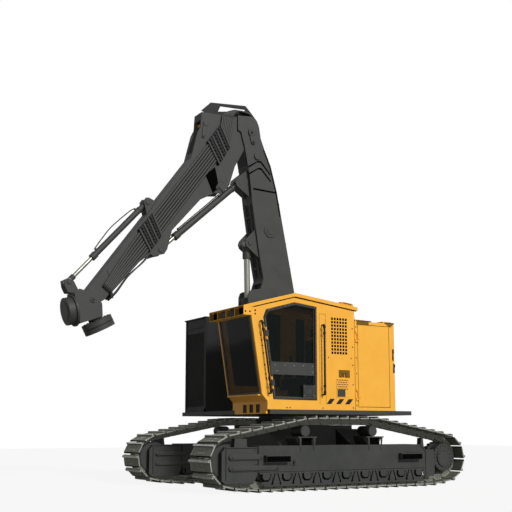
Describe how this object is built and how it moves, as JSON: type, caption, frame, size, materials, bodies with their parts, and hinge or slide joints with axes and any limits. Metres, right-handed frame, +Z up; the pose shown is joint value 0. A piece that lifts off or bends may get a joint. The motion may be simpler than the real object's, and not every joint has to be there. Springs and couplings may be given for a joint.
{
  "type": "tracked forestry harvester",
  "caption": "Tracked forestry harvester with a swinging house, side cab, tall boom, stick and wrist with a turning head flange.",
  "frame": {"origin": "on the ground under the swing axis, midway between the tracks", "axes": "+Z up along the swing axis, the machine faces -Y, the cab is on the +X side"},
  "size_m": [3.06, 6.3689, 6.378],
  "materials": {
    "dark_paint": "satin dark grey machine paint",
    "yellow_paint": "satin yellow machine paint",
    "black_paint": "satin black paint",
    "track_steel": "worn track steel",
    "forged_steel": "dark cast steel",
    "rod_chrome": "hard chrome",
    "glass": "tinted flat glass",
    "seat_cover": "woven black cover",
    "interior_plastic": "grained plastic",
    "lamp_glass": "clear lamp lens",
    "hose_rubber": "rubber hose"
  },
  "bodies": {
    "undercarriage": {"car_body": "dark_paint", "swing_ring": "forged_steel", "track_frames": "dark_paint", "track_steps": "black_paint", "track_left": "track_steel", "track_right": "track_steel", "idlers": "forged_steel", "sprockets": "forged_steel", "final_drives": "dark_paint", "carrier_rollers": "forged_steel", "bottom_rollers": "forged_steel"},
    "house": {"deck": "dark_paint", "boom_tower": "dark_paint", "cab_floor": "dark_paint", "cab_left_side": "yellow_paint", "cab_right_side": "yellow_paint", "cab_rear": "yellow_paint", "cab_front": "yellow_paint", "cab_roof": "yellow_paint", "visor": "yellow_paint", "lamps": "lamp_glass", "windshield": "glass", "cab_windows": "glass", "seat_base": "interior_plastic", "seat_cushions": "seat_cover", "arm_pods": "interior_plastic", "rear_hood": "yellow_paint", "engine_hood": "yellow_paint", "engine_block": "forged_steel", "cooler_module": "black_paint", "cooler_grille": "black_paint", "counterweight": "dark_paint", "handrails": "black_paint", "exhaust": "black_paint"},
    "cab_door": {"door_frame": "black_paint", "door_glass": "glass"},
    "left_service_door": {"service_door": "yellow_paint"},
    "right_engine_door": {"engine_door": "yellow_paint"},
    "boom": {"boom": "dark_paint", "boom_pipes": "forged_steel", "boom_hoses": "hose_rubber"},
    "stick": {"stick": "dark_paint", "hose_guard": "black_paint", "stick_hoses": "hose_rubber", "hose_clamps": "forged_steel"},
    "wrist": {"wrist_bracket": "dark_paint", "wrist_drum": "dark_paint"},
    "rotator": {"head_flange": "dark_paint"},
    "lift_barrel": {"lift_barrel": "dark_paint"},
    "lift_rod": {"lift_rod": "rod_chrome"},
    "crowd_barrel": {"crowd_barrel": "dark_paint"},
    "crowd_rod": {"crowd_rod": "rod_chrome"},
    "tilt_barrel": {"tilt_barrel": "dark_paint"},
    "tilt_rod": {"tilt_rod": "rod_chrome"}
  },
  "joints": [
    {"name": "swing", "type": "hinge", "parent": "undercarriage", "child": "house", "pos_m": [0, 0, 1.05], "axis": [0, 0, 1], "continuous": true},
    {"name": "boom_lift", "type": "hinge", "parent": "house", "child": "boom", "pos_m": [-0.14, 0.07, 1.93], "axis": [-1, 0, 0], "range_deg": [-40, 8]},
    {"name": "stick_crowd", "type": "hinge", "parent": "boom", "child": "stick", "pos_m": [-0.14, -0.816, 5.865], "axis": [1, 0, 0], "range_deg": [-60, 12]},
    {"name": "wrist_tilt", "type": "hinge", "parent": "stick", "child": "wrist", "pos_m": [-0.14, -3.545, 2.808], "axis": [1, 0, 0], "range_deg": [-45, 35]},
    {"name": "head_turn", "type": "hinge", "parent": "wrist", "child": "rotator", "pos_m": [-0.14, -3.3948, 2.4433], "axis": [0, 0.4636, -0.8861], "continuous": true},
    {"name": "lift_barrel_swing", "type": "hinge", "parent": "house", "child": "lift_barrel", "pos_m": [-0.14, -0.76, 1.45], "axis": [1, 0, 0], "range_deg": [-8.2, 36.98]},
    {"name": "lift_rod_slide", "type": "slide", "parent": "lift_barrel", "child": "lift_rod", "axis": [0, -0.0199, 0.9998], "range_m": [-0.6326, 0.1345]},
    {"name": "crowd_barrel_swing", "type": "hinge", "parent": "boom", "child": "crowd_barrel", "pos_m": [-0.14, -0.985, 4.985], "axis": [1, 0, 0], "range_deg": [-69.95, 14.79]},
    {"name": "crowd_rod_slide", "type": "slide", "parent": "crowd_barrel", "child": "crowd_rod", "axis": [0, -0.7441, -0.6681], "range_m": [-0.1638, 0.779]},
    {"name": "tilt_barrel_swing", "type": "hinge", "parent": "stick", "child": "tilt_barrel", "pos_m": [-0.14, -2.656, 4.426], "axis": [1, 0, 0], "range_deg": [-1.32, 1.25]},
    {"name": "tilt_rod_slide", "type": "slide", "parent": "tilt_barrel", "child": "tilt_rod", "axis": [0, -0.6705, -0.7419], "range_m": [-0.3136, 0.2461]},
    {"name": "cab_door_hinge", "type": "hinge", "parent": "house", "child": "cab_door", "pos_m": [1.453, -1.3525, 1.927], "axis": [0, 0.1406, -0.9901], "range_deg": [0, 85]},
    {"name": "service_door_hinge", "type": "hinge", "parent": "house", "child": "left_service_door", "pos_m": [1.453, 0.278, 1.87], "axis": [0, 0, -1], "range_deg": [0, 95]},
    {"name": "engine_door_hinge", "type": "hinge", "parent": "house", "child": "right_engine_door", "pos_m": [-1.453, 0.48, 1.87], "axis": [0, 0, 1], "range_deg": [0, 95]}
  ],
  "couplings": [
    {"joint": "lift_barrel_swing", "follows": "boom_lift", "ratio": -0.89944},
    {"joint": "lift_rod_slide", "follows": "boom_lift", "m_per_rad": 0.89174},
    {"joint": "crowd_barrel_swing", "follows": "stick_crowd", "ratio": 1.1491},
    {"joint": "crowd_rod_slide", "follows": "stick_crowd", "m_per_rad": -0.73438},
    {"joint": "tilt_barrel_swing", "follows": "wrist_tilt", "ratio": 0.00702},
    {"joint": "tilt_rod_slide", "follows": "wrist_tilt", "m_per_rad": 0.38657}
  ]
}
